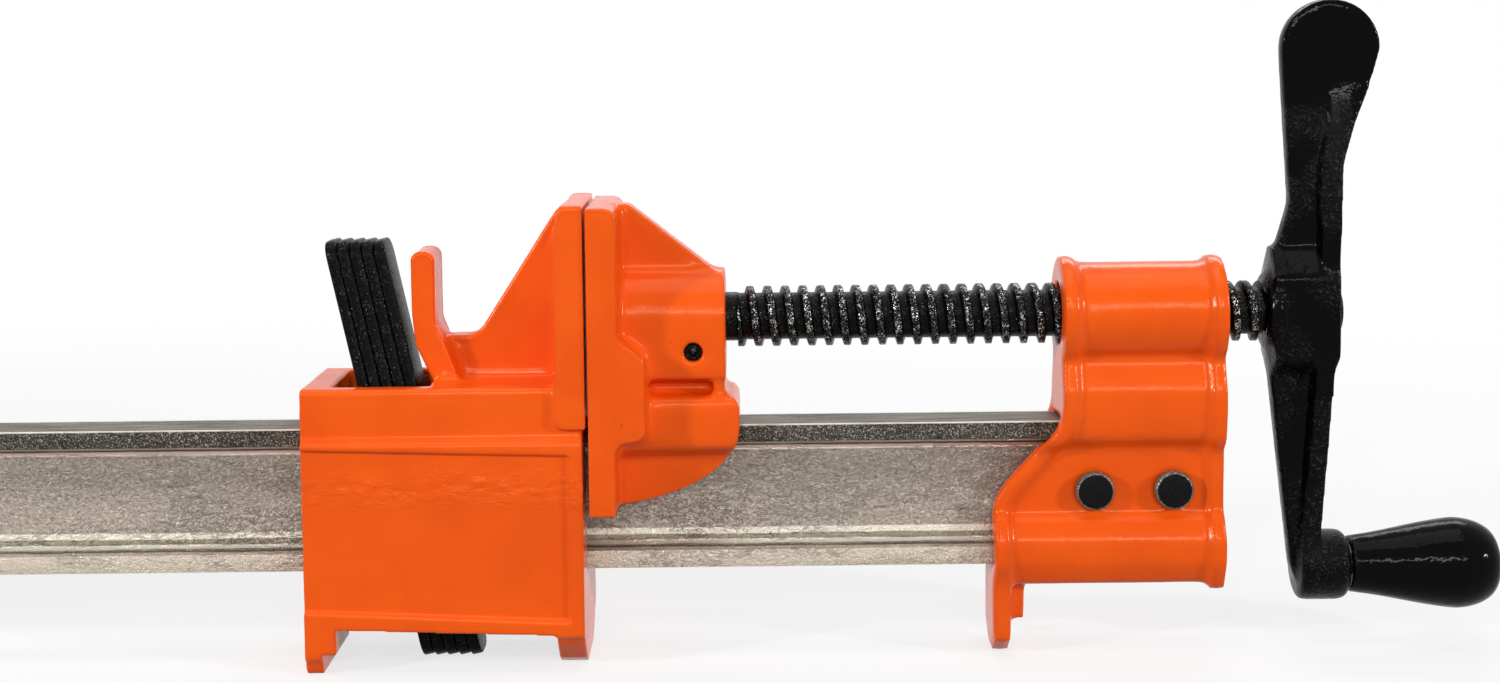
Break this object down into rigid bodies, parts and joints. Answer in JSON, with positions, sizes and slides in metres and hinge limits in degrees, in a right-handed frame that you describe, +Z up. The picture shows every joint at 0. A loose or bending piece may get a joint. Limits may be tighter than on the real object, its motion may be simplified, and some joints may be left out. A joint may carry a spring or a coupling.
{
  "type": "i-bar clamp",
  "caption": "Heavy I-bar clamp: a sliding jaw with a tilting-plate clutch, a screw-driven pressure jaw, a riveted tailstock and a crank with a turning grip.",
  "frame": {"origin": "middle of the flat underside of the tailstock's foot, on the floor", "axes": "+X along the bar and the screw towards the crank, +Z up from the floor, +Y away from the viewer of the picture"},
  "size_m": [0.8806, 0.0448, 0.1873],
  "materials": {
    "orange_enamel": "gloss enamel over a casting",
    "blackened_steel": "black oxide, satin",
    "black_enamel": "gloss black enamel over a casting",
    "plated_steel": "nickel plate over rolled steel"
  },
  "bodies": {
    "frame": {"i_bar": "plated_steel", "tailstock": "orange_enamel", "tail_rivet_1": "blackened_steel", "tail_rivet_2": "blackened_steel", "bar_stop_pin": "plated_steel"},
    "sliding_jaw": {"sliding_jaw": "orange_enamel", "clutch_spring": "plated_steel"},
    "disc_1": {"clutch_disc_1": "blackened_steel"},
    "disc_2": {"clutch_disc_2": "blackened_steel"},
    "disc_3": {"clutch_disc_3": "blackened_steel"},
    "disc_4": {"clutch_disc_4": "blackened_steel"},
    "disc_5": {"clutch_disc_5": "blackened_steel"},
    "pressure_jaw": {"pressure_jaw": "orange_enamel", "nose_pin": "blackened_steel"},
    "spindle": {"screw": "blackened_steel", "crank": "black_enamel", "grip_pin": "plated_steel"},
    "grip": {"grip": "black_enamel"}
  },
  "joints": [
    {"name": "jaw_slide", "type": "slide", "parent": "frame", "child": "sliding_jaw", "axis": [1, 0, 0], "range_m": [-0.52812, 0]},
    {"name": "crank_turn", "type": "hinge", "parent": "pressure_jaw", "child": "spindle", "pos_m": [0, 0, 0.0979], "axis": [1, 0, 0], "range_deg": [0, 5760]},
    {"name": "pressure_jaw_travel", "type": "slide", "parent": "frame", "child": "pressure_jaw", "axis": [1, 0, 0], "range_m": [0, 0.0814]},
    {"name": "grip_spin", "type": "hinge", "parent": "spindle", "child": "grip", "pos_m": [0.12, 0, 0.0234], "axis": [1, 0, 0], "continuous": true},
    {"name": "disc_tilt_1", "type": "hinge", "parent": "sliding_jaw", "child": "disc_1", "pos_m": [-0.17802, 0, 0.0686], "axis": [0, 1, 0], "range_deg": [0, 3.5], "stiffness_Nm_per_rad": 0.04, "springref_deg": -20.05, "deforming": ["clutch_spring"]},
    {"name": "disc_tilt_2", "type": "hinge", "parent": "sliding_jaw", "child": "disc_2", "pos_m": [-0.17455, 0, 0.0686], "axis": [0, 1, 0], "range_deg": [0, 3.5], "stiffness_Nm_per_rad": 0.04, "springref_deg": -20.05},
    {"name": "disc_tilt_3", "type": "hinge", "parent": "sliding_jaw", "child": "disc_3", "pos_m": [-0.17108, 0, 0.0686], "axis": [0, 1, 0], "range_deg": [0, 3.5], "stiffness_Nm_per_rad": 0.04, "springref_deg": -20.05},
    {"name": "disc_tilt_4", "type": "hinge", "parent": "sliding_jaw", "child": "disc_4", "pos_m": [-0.16761, 0, 0.0686], "axis": [0, 1, 0], "range_deg": [0, 3.5], "stiffness_Nm_per_rad": 0.04, "springref_deg": -20.05},
    {"name": "disc_tilt_5", "type": "hinge", "parent": "sliding_jaw", "child": "disc_5", "pos_m": [-0.16414, 0, 0.0686], "axis": [0, 1, 0], "range_deg": [0, 3.5], "stiffness_Nm_per_rad": 0.04, "springref_deg": -20.05}
  ],
  "couplings": [
    {"joint": "pressure_jaw_travel", "follows": "crank_turn", "m_per_rad": 0.00080851},
    {"joint": "disc_tilt_2", "follows": "disc_tilt_1", "ratio": 1},
    {"joint": "disc_tilt_3", "follows": "disc_tilt_1", "ratio": 1},
    {"joint": "disc_tilt_4", "follows": "disc_tilt_1", "ratio": 1},
    {"joint": "disc_tilt_5", "follows": "disc_tilt_1", "ratio": 1}
  ]
}
